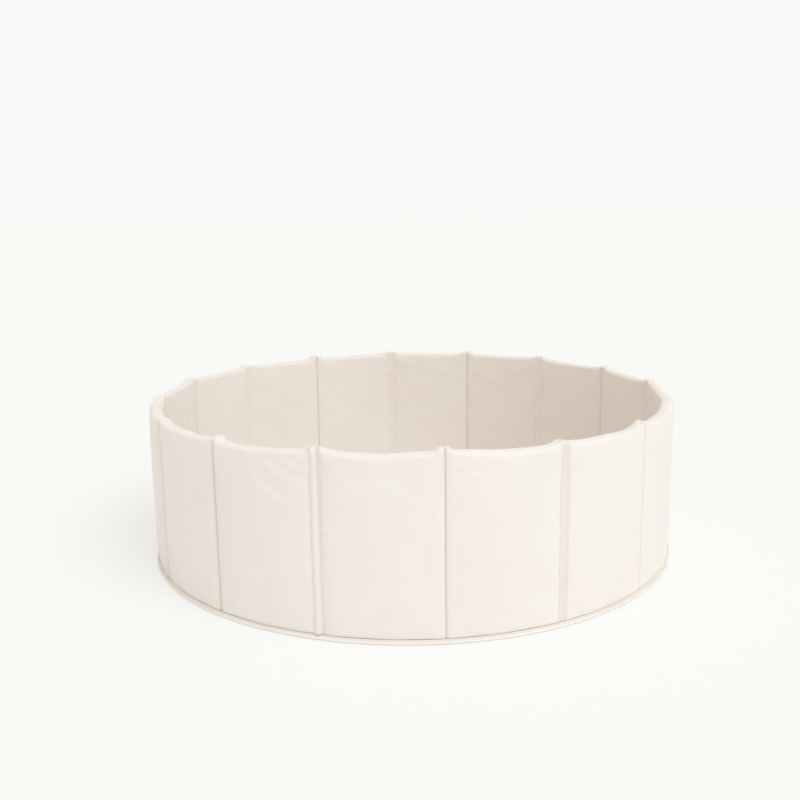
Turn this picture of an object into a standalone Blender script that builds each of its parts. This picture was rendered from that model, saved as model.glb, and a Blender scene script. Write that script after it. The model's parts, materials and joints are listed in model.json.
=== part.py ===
"""A round folding play ring: padded wall panels joined by sewn hinge webs, standing on a thin padded floor.

Each pad is bent along the ring. The webs lie by turns on the inner and on the outer face of the wall, and each
is a hinge in its face. So the ring folds like a concertina: the seams turn alike, by turns inwards and outwards,
and the wall draws together into a star. Every panel but the first hangs on an empty on its hinge line.
Seam 1 is at the front, on -Y. Seams and panels are counted towards +X. Sizes are in metres.
"""

import math

import bmesh
import bpy

# Ring
PANEL_COUNT = 16
SEAM_PITCH = 0.211          # from seam to seam, along the middle of the wall
ROOT_PANEL = 1              # the panel that the floor stays with
OPEN_SEAM = 9               # the seam opposite, where two half rings of hinges meet

# Wall pads
PAD_THICKNESS = 0.024       # between the two faces at the pad's edge
PAD_CROWN = 0.0025          # how far each face swells at its middle
PAD_DRAW = 0.0015           # how far each side is drawn in at half height
EDGE_ROUND = 0.007          # radius of the pad's four upright edges
SEAM_GAP = 0.006            # between two pads, across the seam
RIM_HEIGHT = 0.328          # top of a pad at its corners, from the ground
RIM_SAG = 0.004             # how far the rim hangs at the middle of a pad
RIM_ROUND = 0.0105          # radius of the rim's roll
FOOT_ROUND = 0.004          # radius at the pad's foot
COVER_THICKNESS = 0.0012    # leather cloth of the pocket
CORE_SLACK = 0.0004         # between the foam and its pocket
CORE_LIFT = 0.001           # foam above the mouth of its pocket

# Hinge webs
WEB_THICKNESS = 0.002       # cloth sewn double
WEB_PEAK = 0.333            # top of the web on the seam, from the ground
WEB_DROP = 0.006            # how much lower its two ends are

# Floor
SHEET_THICKNESS = 0.0012    # leather cloth under and over the foam
FLOOR_FOAM_THICKNESS = 0.004
PIPING_WIDTH = 0.0045       # how far the bead stands out from the sheets
FLOOR_LIP = 0.0065          # how far the bead stands out from the wall

# Clearance between pieces that touch
SEAT_GAP = 0.0003

# Fineness of the meshes, in counts
EDGE_STEPS = 2
FACE_STEPS = 5
BODY_LEVELS = 3
RIM_STEPS = 3
WEB_END_STEPS = 2
FLOOR_STEPS = 6
BEAD_STEPS = 5

# Shading: edges that turn by more than this stay sharp
SHARP_ANGLE = math.radians(50)

# Shares
CEILING_SHARE = 0.35        # thickness of the pocket at its ceiling, of its full thickness

# Derived sizes
SEAM_ANGLE = 2 * math.pi / PANEL_COUNT
HALF_ANGLE = SEAM_ANGLE / 2
MID_RADIUS = SEAM_PITCH / SEAM_ANGLE
PAD_HALF = PAD_THICKNESS / 2
PAD_REACH = (SEAM_PITCH - SEAM_GAP) / 2
SIDE_POINTS = 2 * (EDGE_STEPS + 1)
FLOOR_TOP = 2 * SHEET_THICKNESS + FLOOR_FOAM_THICKNESS + 2 * SEAT_GAP
PAD_FOOT = FLOOR_TOP + SEAT_GAP
FLOOR_RADIUS = MID_RADIUS + PAD_HALF + FLOOR_LIP


def clear_scene():
    """Removes every object that the file opened with."""
    for obj in list(bpy.data.objects):
        bpy.data.objects.remove(obj, do_unlink=True)


def make_material(name, colour, roughness):
    """A plain cloth or foam finish."""
    material = bpy.data.materials.new(name)
    material.use_nodes = True
    shader = material.node_tree.nodes["Principled BSDF"]
    shader.inputs["Base Color"].default_value = (*colour, 1.0)
    shader.inputs["Roughness"].default_value = roughness
    shader.inputs["Metallic"].default_value = 0.0
    material.diffuse_color = (*colour, 1.0)
    return material


def cover_leather():
    """Smooth ivory leather cloth of the wall."""
    return make_material("cover_leather", (0.86, 0.80, 0.73), 0.48)


def web_leather():
    """The same cloth, doubled and creased along the hinge."""
    return make_material("web_leather", (0.80, 0.74, 0.66), 0.52)


def floor_leather():
    """Ivory leather cloth of the floor."""
    return make_material("floor_leather", (0.84, 0.77, 0.69), 0.50)


def piping_leather():
    """Pale bead round the foot."""
    return make_material("piping_leather", (0.90, 0.85, 0.77), 0.45)


def wall_foam():
    """Off-white foam board."""
    return make_material("wall_foam", (0.88, 0.88, 0.85), 0.90)


def floor_padding():
    """Grey foam of the floor."""
    return make_material("floor_padding", (0.72, 0.72, 0.70), 0.90)


def place(mesh_name, builder):
    """A mesh from a bmesh builder, with its faces turned outwards and its round sides smooth."""
    mesh = bpy.data.meshes.new(mesh_name)
    shape = bmesh.new()
    builder(shape)
    bmesh.ops.recalc_face_normals(shape, faces=shape.faces)
    shape.to_mesh(mesh)
    shape.free()
    mesh.shade_smooth()
    mesh.set_sharp_from_angle(angle=SHARP_ANGLE)
    return mesh


def add_object(name, mesh, material, location, turn, parent):
    """An object at a world place, hung on its parent empty."""
    obj = bpy.data.objects.new(name, mesh)
    if not mesh.materials:
        mesh.materials.append(material)
    bpy.context.scene.collection.objects.link(obj)
    origin = world_place(parent)
    obj.location = tuple(here - base for here, base in zip(location, origin))
    obj.rotation_euler = (0.0, 0.0, turn)
    obj.parent = parent
    return obj


def world_place(empty):
    """World location of an unturned empty in a chain of unturned empties."""
    place_sum = [0.0, 0.0, 0.0]
    while empty is not None:
        place_sum = [total + here for total, here in zip(place_sum, empty.location)]
        empty = empty.parent
    return tuple(place_sum)


def add_loop(shape, points):
    """One closed loop of vertices."""
    return [shape.verts.new(point) for point in points]


def skin_loops(shape, loops):
    """Faces between each loop and the next, which have as many points."""
    for lower, upper in zip(loops, loops[1:]):
        count = len(lower)
        for index in range(count):
            after = (index + 1) % count
            shape.faces.new((lower[index], lower[after], upper[after], upper[index]))


def cap_pad_loop(shape, loop):
    """Closes a pad's loop with a strip of faces that runs across it from one side to the other."""
    count = len(loop)
    outer = SIDE_POINTS // 2
    inner = outer - 1
    for step in range(count // 2):
        places = (inner - step, outer + step, outer + step + 1, inner - step - 1)
        corners = list(dict.fromkeys(loop[place % count] for place in places))
        if len(corners) > 2:
            shape.faces.new(corners)


def prism(shape, outline, low, high):
    """An upright solid over an outline, from one height to another."""
    foot = add_loop(shape, [(x, y, low) for x, y in outline])
    head = add_loop(shape, [(x, y, high) for x, y in outline])
    skin_loops(shape, [foot, head])
    shape.faces.new(foot)
    shape.faces.new(head)


def ring_point(angle, radius):
    """Place on the ground at an angle from -Y towards +X, and the turn that faces a piece outwards."""
    return (radius * math.sin(angle), -radius * math.cos(angle)), angle + math.pi


def bend(x, y):
    """Moves a point from a straight wall to the bent one, about a place on the middle of the wall."""
    angle = x / MID_RADIUS
    return (MID_RADIUS + y) * math.sin(angle), (MID_RADIUS + y) * math.cos(angle) - MID_RADIUS


def seam_angle(seam):
    """Angle of a seam from -Y. Seam 1 is at the front."""
    return (seam - 1) * SEAM_ANGLE


def panel_angle(panel):
    """Angle of a panel's middle, between the seam before it and its own."""
    return seam_angle(panel) - HALF_ANGLE


def web_side(seam):
    """Odd seams have their web on the inner face, -1, and even seams on the outer face, 1."""
    return -1 if seam % 2 else 1


def hinge_radius(seam):
    """Distance of a hinge line from the ring's axis. It lies in the wall's face on the web's side."""
    return MID_RADIUS + web_side(seam) * PAD_HALF


def pad_section(reach, half, crown):
    """Outline of a pad from above: two crowned faces and two flat sides, with rounded edges between them."""
    rounding = EDGE_ROUND * half / PAD_HALF
    points = []
    for side in (1, -1):
        for face, start in ((-1, -math.pi / 2), (1, 0.0)):
            for step in range(EDGE_STEPS + 1):
                angle = start + math.pi / 2 * step / EDGE_STEPS
                x = reach - rounding * (1 - math.cos(angle))
                y = face * (half - rounding) + rounding * math.sin(angle)
                points.append((side * x, side * y))
        for step in range(1, FACE_STEPS):
            along = 1 - 2 * step / FACE_STEPS
            points.append((side * (reach - rounding) * along, side * (half + crown * (1 - along**2))))
    return points


def rim_height(x):
    """Height of the rim at a place along the pad: it hangs a little between the seams."""
    along = x / PAD_REACH
    return RIM_HEIGHT - RIM_SAG * (1 - along**2)


def pad_loop(shape, rise, inset, base, below_rim):
    """One bent loop of the pad's skin, moved in by an inset, at a share of its rise to a drop below the rim."""
    swell = 1 - (2 * rise - 1) ** 4
    reach = PAD_REACH - PAD_DRAW * swell - inset
    points = []
    for x, y in pad_section(reach, PAD_HALF - inset, PAD_CROWN * swell):
        top = rim_height(x) - below_rim
        points.append((*bend(x, y), base + rise * (top - base)))
    return add_loop(shape, points)


def pocket_loops(shape, inset, base):
    """Loops of the pocket's hollow, or of the foam in it, from its mouth to its ceiling."""
    ceiling_half = (PAD_HALF - inset) * CEILING_SHARE
    loops = [pad_loop(shape, 0, inset + FOOT_ROUND, base, RIM_ROUND)]
    for level in range(1, BODY_LEVELS + 1):
        loops.append(pad_loop(shape, level / BODY_LEVELS, inset, base, RIM_ROUND))
    loops.append(pad_loop(shape, 1, PAD_HALF - ceiling_half, base, 2 * inset))
    return loops


def build_cover(shape):
    """The pocket: crowned faces, rolled rim, and a hollow that is open at the foot."""
    outer = [pad_loop(shape, 0, FOOT_ROUND, PAD_FOOT, RIM_ROUND)]
    for level in range(1 + BODY_LEVELS):
        outer.append(pad_loop(shape, level / BODY_LEVELS, 0.0, PAD_FOOT + FOOT_ROUND, RIM_ROUND))
    for step in range(1, RIM_STEPS + 1):
        angle = math.pi / 2 * step / RIM_STEPS
        inset = RIM_ROUND * (1 - math.cos(angle))
        outer.append(pad_loop(shape, 1, inset, PAD_FOOT, RIM_ROUND * (1 - math.sin(angle))))
    hollow = pocket_loops(shape, COVER_THICKNESS, PAD_FOOT)
    skin_loops(shape, outer)
    skin_loops(shape, hollow)
    skin_loops(shape, [outer[0], hollow[0]])
    cap_pad_loop(shape, outer[-1])
    cap_pad_loop(shape, hollow[-1])


def build_core(shape):
    """The foam board, as the hollow of its pocket less the slack."""
    loops = pocket_loops(shape, COVER_THICKNESS + CORE_SLACK, PAD_FOOT + CORE_LIFT)
    skin_loops(shape, loops)
    cap_pad_loop(shape, loops[0])
    cap_pad_loop(shape, loops[-1])


def web_section(side):
    """Outline of a hinge web from above, about its hinge line, with its ends hollowed to the pads' edges."""
    edge_centre = SEAM_GAP / 2 + EDGE_ROUND
    hollow = EDGE_ROUND + SEAT_GAP
    half = [(0.0, 0.0)]
    for step in range(WEB_END_STEPS + 1):
        sunk = WEB_THICKNESS * step / WEB_END_STEPS
        reach = edge_centre - math.sqrt(hollow**2 - (EDGE_ROUND - sunk) ** 2)
        x, y = bend(reach, side * (PAD_HALF - sunk))
        half.append((x, y - side * PAD_HALF))
    back = (0.0, -side * WEB_THICKNESS)
    mirrored = [(-x, y) for x, y in reversed(half[1:])]
    return half + [back] + mirrored


def build_web(shape, side):
    """The hinge strip, which stands over the rim as a small rounded tab."""
    section = web_section(side)
    widest = max(x for x, _ in section)
    foot = add_loop(shape, [(x, y, PAD_FOOT) for x, y in section])
    head = add_loop(shape, [(x, y, WEB_PEAK - WEB_DROP * (x / widest) ** 2) for x, y in section])
    skin_loops(shape, [foot, head])
    shape.faces.new(foot)
    bmesh.ops.triangulate(shape, faces=[shape.faces.new(head)])


def floor_outline(inset):
    """The floor's round outline, moved in by an inset."""
    count = PANEL_COUNT * FLOOR_STEPS
    places = [ring_point(2 * math.pi * step / count, FLOOR_RADIUS - inset) for step in range(count)]
    return [place for place, _ in places]


def build_floor_layer(shape, low, high):
    """One flat layer of the floor, which ends at the bead."""
    prism(shape, floor_outline(PIPING_WIDTH + SEAT_GAP), low, high)


def build_piping(shape):
    """The bead round the floor's edge: flat against the sheets, flat below, and rounded outwards."""
    loops = []
    for step in range(BEAD_STEPS + 1):
        angle = math.pi / 2 * (2 * step / BEAD_STEPS - 1)
        inset = PIPING_WIDTH * (1 - math.cos(angle))
        height = FLOOR_TOP / 2 * (1 + math.sin(angle))
        loops.append(add_loop(shape, [(x, y, height) for x, y in floor_outline(inset)]))
    skin_loops(shape, loops + [loops[0]])


def hinge_empty(seam, parent):
    """An empty on a hinge line, which carries the next panel of its half ring."""
    (x, y), _ = ring_point(seam_angle(seam), hinge_radius(seam))
    empty = bpy.data.objects.new(f"hinge_line_{seam:02d}", None)
    bpy.context.scene.collection.objects.link(empty)
    origin = world_place(parent)
    empty.location = (x - origin[0], y - origin[1], 0.0)
    empty.parent = parent
    return empty


def add_panel(panel, meshes, parent):
    """The cover and the foam of one wall panel."""
    (x, y), turn = ring_point(panel_angle(panel), MID_RADIUS)
    add_object(f"cover_{panel:02d}", meshes["cover"], None, (x, y, 0.0), turn, parent)
    add_object(f"foam_core_{panel:02d}", meshes["core"], None, (x, y, 0.0), turn, parent)


def add_web(seam, meshes, parent):
    """The web of one seam."""
    (x, y), turn = ring_point(seam_angle(seam), hinge_radius(seam))
    mesh = meshes["outer_web"] if web_side(seam) > 0 else meshes["inner_web"]
    add_object(f"hinge_web_{seam:02d}", mesh, None, (x, y, 0.0), turn, parent)


def add_wall():
    """All panels: the root panel, then a half ring of hinges on each side of it."""
    meshes = {
        "cover": place("cover", build_cover),
        "core": place("foam_core", build_core),
        "inner_web": place("inner_web", lambda shape: build_web(shape, -1)),
        "outer_web": place("outer_web", lambda shape: build_web(shape, 1)),
    }
    meshes["cover"].materials.append(cover_leather())
    meshes["core"].materials.append(wall_foam())
    leather = web_leather()
    meshes["inner_web"].materials.append(leather)
    meshes["outer_web"].materials.append(leather)
    add_panel(ROOT_PANEL, meshes, None)
    parent = None
    for seam in range(ROOT_PANEL, OPEN_SEAM):
        parent = hinge_empty(seam, parent)
        add_web(seam, meshes, parent)
        add_panel(seam + 1, meshes, parent)
    add_web(OPEN_SEAM, meshes, parent)
    parent = None
    for seam in range(PANEL_COUNT, OPEN_SEAM, -1):
        parent = hinge_empty(seam, parent)
        add_web(seam, meshes, parent)
        add_panel(seam, meshes, parent)


def add_floor():
    """Base sheet, foam and top sheet inside the bead that binds them."""
    leather = floor_leather()
    foam_low = SHEET_THICKNESS + SEAT_GAP
    foam_high = foam_low + FLOOR_FOAM_THICKNESS
    layers = (
        ("floor_base_sheet", 0.0, SHEET_THICKNESS, leather),
        ("floor_foam", foam_low, foam_high, floor_padding()),
        ("floor_top_sheet", foam_high + SEAT_GAP, FLOOR_TOP, leather),
    )
    for name, low, high, material in layers:
        mesh = place(name, lambda shape, low=low, high=high: build_floor_layer(shape, low, high))
        add_object(name, mesh, material, (0.0, 0.0, 0.0), 0.0, None)
    add_object("floor_piping", place("floor_piping", build_piping), piping_leather(), (0.0, 0.0, 0.0), 0.0, None)


def main():
    """Builds the ring at rest, open and standing."""
    clear_scene()
    add_floor()
    add_wall()


main()
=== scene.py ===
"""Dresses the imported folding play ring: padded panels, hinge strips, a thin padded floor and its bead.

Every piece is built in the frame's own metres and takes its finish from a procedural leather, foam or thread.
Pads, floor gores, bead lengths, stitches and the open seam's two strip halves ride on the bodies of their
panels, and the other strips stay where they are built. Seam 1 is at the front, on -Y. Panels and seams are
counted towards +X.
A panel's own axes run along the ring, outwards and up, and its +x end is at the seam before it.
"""

import json
import logging
import math
from collections.abc import Iterable, Sequence
from dataclasses import dataclass, field
from enum import Enum
from typing import Any

import bmesh
import bpy
import numpy as np
from mathutils import Euler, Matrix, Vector

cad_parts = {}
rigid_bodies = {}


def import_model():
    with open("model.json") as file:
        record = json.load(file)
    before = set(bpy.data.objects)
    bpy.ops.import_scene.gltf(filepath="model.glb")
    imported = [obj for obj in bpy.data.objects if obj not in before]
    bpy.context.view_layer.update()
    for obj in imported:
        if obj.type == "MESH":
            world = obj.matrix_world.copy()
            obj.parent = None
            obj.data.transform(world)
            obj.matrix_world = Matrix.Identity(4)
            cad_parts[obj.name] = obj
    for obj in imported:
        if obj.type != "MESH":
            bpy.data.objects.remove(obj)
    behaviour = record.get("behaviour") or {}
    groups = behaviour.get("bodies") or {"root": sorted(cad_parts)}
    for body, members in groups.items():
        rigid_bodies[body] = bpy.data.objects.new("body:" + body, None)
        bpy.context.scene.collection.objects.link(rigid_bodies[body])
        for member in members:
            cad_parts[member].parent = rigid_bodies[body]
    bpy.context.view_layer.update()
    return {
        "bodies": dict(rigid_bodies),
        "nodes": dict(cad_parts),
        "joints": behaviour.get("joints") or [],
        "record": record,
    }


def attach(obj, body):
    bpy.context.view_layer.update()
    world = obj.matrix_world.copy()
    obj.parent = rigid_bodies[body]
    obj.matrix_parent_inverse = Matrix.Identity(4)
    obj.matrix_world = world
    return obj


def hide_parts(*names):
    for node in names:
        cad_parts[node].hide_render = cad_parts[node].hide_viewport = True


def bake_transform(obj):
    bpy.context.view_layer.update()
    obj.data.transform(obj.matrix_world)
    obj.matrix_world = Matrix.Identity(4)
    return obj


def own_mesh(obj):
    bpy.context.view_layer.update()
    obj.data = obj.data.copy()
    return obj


LOG = logging.getLogger("play_ring")

Colour = tuple[float, float, float]
Faces = list[tuple[int, ...]]
Span = tuple[float, float]


@dataclass(frozen=True)
class RingPlan:
    """Where the panels, the seams and the floor's edge stand. Lengths are in metres."""

    panel_count: int = 16
    seam_pitch: float = 0.211
    pad_thickness: float = 0.024
    seam_gap: float = 0.006
    edge_round: float = 0.007
    pad_foot: float = 0.0073
    rim_round: float = 0.0052
    rim_middle: float = 0.3250
    board_middle: float = 0.3208
    board_rise: float = 0.0040
    web_peak: float = 0.333
    floor_top: float = 0.0070
    floor_lip: float = 0.0065
    open_seam: int = 9
    lead_joint: str = "seam_01_hinge"

    @property
    def seam_turn(self) -> float:
        """Angle from one seam to the next."""
        return 2 * math.pi / self.panel_count

    @property
    def half_turn(self) -> float:
        """Angle from a seam to the middle of its panel."""
        return self.seam_turn / 2

    @property
    def mid_radius(self) -> float:
        """Distance of the wall's middle from the ring's axis."""
        return self.seam_pitch / self.seam_turn

    @property
    def pad_half(self) -> float:
        """Half the thickness of a pad."""
        return self.pad_thickness / 2

    @property
    def pad_reach(self) -> float:
        """Distance from the middle of a pad to its side, along the ring."""
        return (self.seam_pitch - self.seam_gap) / 2

    @property
    def floor_radius(self) -> float:
        """Distance of the bead's outermost line from the ring's axis."""
        return self.mid_radius + self.pad_half + self.floor_lip

    def number(self, count: int) -> int:
        """A seam or panel counted on round the ring, as a number from 1."""
        return (count - 1) % self.panel_count + 1

    def seam_angle(self, seam: int) -> float:
        """Angle of a seam from -Y towards +X."""
        return (seam - 1) * self.seam_turn

    def panel_angle(self, panel: int) -> float:
        """Angle of a panel's middle, just before its own seam."""
        return self.seam_angle(panel) - self.half_turn

    def web_side(self, seam: int) -> int:
        """Odd seams have their web on the inner face, -1, and even seams on the outer face, 1."""
        return -1 if seam % 2 else 1

    def hinge_radius(self, seam: int) -> float:
        """Distance of a hinge line from the ring's axis."""
        return self.mid_radius + self.web_side(seam) * self.pad_half

    def body(self, panel: int) -> str:
        """Name of the body that carries a panel."""
        number = self.number(panel)
        return "root" if number == 1 else f"panel_{number:02d}"

    def to_world(self, points: np.ndarray, angle: float, radius: float) -> np.ndarray:
        """Bends local points along the ring and puts them at their place.

        Args:
            points: One row for each point: its place along the ring, outwards, and up.
            angle: Angle of the local origin from -Y towards +X.
            radius: Distance of the local origin from the ring's axis.

        Returns:
            The points in the frame's own axes.
        """
        turned = angle - points[:, 0] / self.mid_radius
        reach = radius + points[:, 1]
        return np.column_stack((reach * np.sin(turned), -reach * np.cos(turned), points[:, 2]))


PLAN = RingPlan()


def smooth_step(value: np.ndarray, low: float, high: float) -> np.ndarray:
    """A smooth step from 0 at low to 1 at high."""
    share = np.clip((value - low) / (high - low), 0, 1)
    return share * share * (3 - 2 * share)


def bell(value: np.ndarray, width: float) -> np.ndarray:
    """A soft bump about 0 of a given half width."""
    return np.exp(-((value / width) ** 2))


def soft_most(value: np.ndarray, least: np.ndarray, softness: float = 0.0004) -> np.ndarray:
    """A value that turns softly into a lower limit.

    Args:
        value: The value at each point.
        least: The limit at each point.
        softness: Width of the turn.

    Returns:
        One value for each point, never less than the limit.
    """
    spare = value - least
    return least + 0.5 * (spare + np.sqrt(spare**2 + softness**2))


def one_chance(seed: int, span: Span) -> float:
    """One repeatable random value in a span."""
    return float(np.random.default_rng(seed).uniform(*span))


@dataclass(frozen=True)
class Rim:
    """The wall's upper edge: level along each pad, with a soft lobe at each corner, where cloth gathers."""

    plan: RingPlan = PLAN
    corner_rise: float = 0.0030
    lobe_rise: float = 0.0046
    lobe_place: float = 0.0042
    lobe_width: float = 0.0055
    lift_span: Span = (-0.2, 0.9)
    over_board: float = 0.0012
    sag_seed: int = 880
    lift_seed: int = 800
    lobe_seed: int = 850
    sag_range: Span = (0.0, 0.0012)
    lift_range: Span = (-0.0015, 0.0015)
    lobe_range: Span = (0.75, 1.15)
    lifts: tuple[tuple[int, float], ...] = (
        (14, -0.003), (15, -0.001), (16, 0.0035), (1, 0.004), (2, 0.0), (3, -0.002), (4, 0.002), (5, 0.002),
    )
    sags: tuple[tuple[int, float], ...] = (
        (4, 0.0028), (5, 0.0024), (6, 0.0024), (7, 0.0018), (1, 0.0), (2, 0.0),
    )
    shares: tuple[tuple[int, int, float], ...] = (
        (15, -1, 0.70), (16, 1, 1.10), (16, -1, 1.00), (1, 1, 0.85), (1, -1, 1.15),
        (2, 1, 0.90), (2, -1, 1.10), (3, 1, 0.50), (3, -1, 0.60), (4, 1, 1.15),
    )

    def sag(self, panel: int) -> float:
        """How far the rim hangs in the middle of a panel."""
        return dict(self.sags).get(panel, one_chance(self.sag_seed + panel, self.sag_range))

    def lift(self, seam: int) -> float:
        """How much higher than even the rim is at a seam."""
        return dict(self.lifts).get(seam, one_chance(self.lift_seed + seam, self.lift_range))

    def lobe(self, panel: int, side: int) -> float:
        """Height of the lobe at one corner of a panel.

        Args:
            panel: Number of the panel.
            side: 1 for its end at the seam before it, -1 for its end at its own seam.

        Returns:
            The height in metres.
        """
        known = {(number, end): share for number, end, share in self.shares}
        even = one_chance(self.lobe_seed + 2 * panel + side, self.lobe_range)
        return self.lobe_rise * known.get((panel, side), even)

    def height(self, x: np.ndarray, panel: int = 0) -> np.ndarray:
        """Height of the rim along a pad.

        Args:
            x: Place of each point along the pad.
            panel: Number of the panel, or 0 for an even one.

        Returns:
            One height for each point.
        """
        plan = self.plan
        along = np.clip(x / plan.pad_reach, -1, 1)
        depth = plan.pad_reach - np.abs(x)
        top = plan.rim_middle + self.corner_rise * along**4
        if panel:
            top = top - self.sag(panel) * (1 - along**2)
        for side in (1, -1):
            lift, lobe = 0.0, self.lobe_rise
            if panel:
                lift = self.lift(plan.number(panel - 1) if side > 0 else panel)
                lobe = self.lobe(panel, side)
            top = top + lift * smooth_step(side * along, *self.lift_span)
            top = top + lobe * bell(depth - self.lobe_place, self.lobe_width) * (side * x > 0)
        return soft_most(top, plan.board_middle + plan.board_rise * along**2 + self.over_board)


RIM = Rim()


class Wire:
    """A shader socket that takes part in sums. Each sum adds its Math node."""

    def __init__(self, sheet: "NodeSheet", socket: bpy.types.NodeSocket) -> None:
        """Wraps a node's output socket.

        Args:
            sheet: The node tree that the socket is in.
            socket: The output socket.
        """
        self.sheet = sheet
        self.socket = socket

    def _sum(self, operation: str, *values: Any) -> "Wire":
        """Adds one Math node over its values."""
        return self.sheet.node("ShaderNodeMath", {"operation": operation}, dict(enumerate(values)))

    def __add__(self, other: Any) -> "Wire":
        """Sum of two values."""
        return self._sum("ADD", self, other)

    __radd__ = __add__

    def __sub__(self, other: Any) -> "Wire":
        """Difference of two values."""
        return self._sum("SUBTRACT", self, other)

    def __rsub__(self, other: Any) -> "Wire":
        """Difference, from the other value."""
        return self._sum("SUBTRACT", other, self)

    def __mul__(self, other: Any) -> "Wire":
        """Product of two values."""
        return self._sum("MULTIPLY", self, other)

    __rmul__ = __mul__

    def at_most(self, other: Any) -> "Wire":
        """The lesser of two values."""
        return self._sum("MINIMUM", self, other)

    def size(self) -> "Wire":
        """The value without its sign."""
        return self._sum("ABSOLUTE", self)

    def ramp(self, low: float, high: float) -> "Wire":
        """A smooth step from 0 at one value to 1 at another.

        Args:
            low: Value that gives 0.
            high: Value that gives 1.

        Returns:
            The step as a wire.
        """
        return self.sheet.node(
            "ShaderNodeMapRange",
            {"interpolation_type": "SMOOTHSTEP"},
            {"Value": self, "From Min": low, "From Max": high, "To Min": 0.0, "To Max": 1.0},
        )


class NodeSheet:
    """The node tree of one material, with its shader and output in place."""

    def __init__(self, name: str) -> None:
        """Makes the material and finds its shader.

        Args:
            name: Name of the material.
        """
        self.material = bpy.data.materials.new(name)
        self.material.use_nodes = True
        self.tree = self.material.node_tree
        self.shader = self.tree.nodes["Principled BSDF"]

    def node(self, kind: str, settings: dict[str, Any], sockets: dict[int | str, Any], out: str = "") -> Wire:
        """Adds a node of any type.

        Args:
            kind: The node's type.
            settings: Its own settings, set before its sockets.
            sockets: Values or wires for its input sockets, by number, name or identifier.
            out: Name or identifier of the output socket, or the first enabled one.

        Returns:
            The output socket as a wire.
        """
        node = self.tree.nodes.new(kind)
        for key, value in settings.items():
            setattr(node, key, value)
        for key, value in sockets.items():
            socket = self._socket(node.inputs, key)
            if isinstance(value, Wire):
                self.tree.links.new(value.socket, socket)
            else:
                socket.default_value = value
        if out:
            return Wire(self, self._socket(node.outputs, out))
        return Wire(self, next(socket for socket in node.outputs if socket.enabled))

    def _socket(self, sockets: Any, key: int | str) -> bpy.types.NodeSocket:
        """Finds a socket.

        Args:
            sockets: A node's inputs or outputs.
            key: The socket's number, identifier or name.

        Returns:
            The socket.
        """
        if isinstance(key, int):
            return sockets[key]
        return next((socket for socket in sockets if socket.identifier == key), None) or sockets[key]

    def constant(self, **values: Any) -> None:
        """Sets values on the shader's own sockets."""
        for key, value in values.items():
            self.shader.inputs[key.replace("_", " ")].default_value = value

    def drive(self, name: str, wire: Wire) -> None:
        """Links a wire to one of the shader's sockets."""
        self.tree.links.new(wire.socket, self.shader.inputs[name])

    def place(self) -> Wire:
        """Object coordinates."""
        return self.node("ShaderNodeTexCoord", {}, {}, out="Object")

    def cloud(self, vector: Wire, scale: float, detail: float = 2.0, distortion: float = 0.0) -> Wire:
        """Soft noise from 0 to 1.

        Args:
            vector: Coordinates that it reads.
            scale: Waves in a metre.
            detail: How many finer layers it has.
            distortion: How far it is drawn out of place.

        Returns:
            The noise as a wire.
        """
        sockets = {"Vector": vector, "Scale": scale, "Detail": detail, "Distortion": distortion}
        return self.node("ShaderNodeTexNoise", {}, sockets)

    def mask(self, name: str) -> Wire:
        """A value that the piece's own points carry."""
        return self.node("ShaderNodeAttribute", {"attribute_name": name}, {}, out="Fac")

    def mix_colour(self, share: Any, first: Colour, second: Colour) -> Wire:
        """A colour between two others.

        Args:
            share: Share of the second colour.
            first: The first colour.
            second: The second colour.

        Returns:
            The colour as a wire.
        """
        sockets = {"Factor_Float": share, "A_Color": (*first, 1.0), "B_Color": (*second, 1.0)}
        return self.node("ShaderNodeMix", {"data_type": "RGBA"}, sockets, out="Result_Color")

    def raise_surface(self, height: Wire) -> None:
        """Bumps the surface by a height in metres."""
        bump = self.node("ShaderNodeBump", {}, {"Strength": 1.0, "Distance": 1.0, "Height": height})
        self.drive("Normal", bump)


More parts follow.
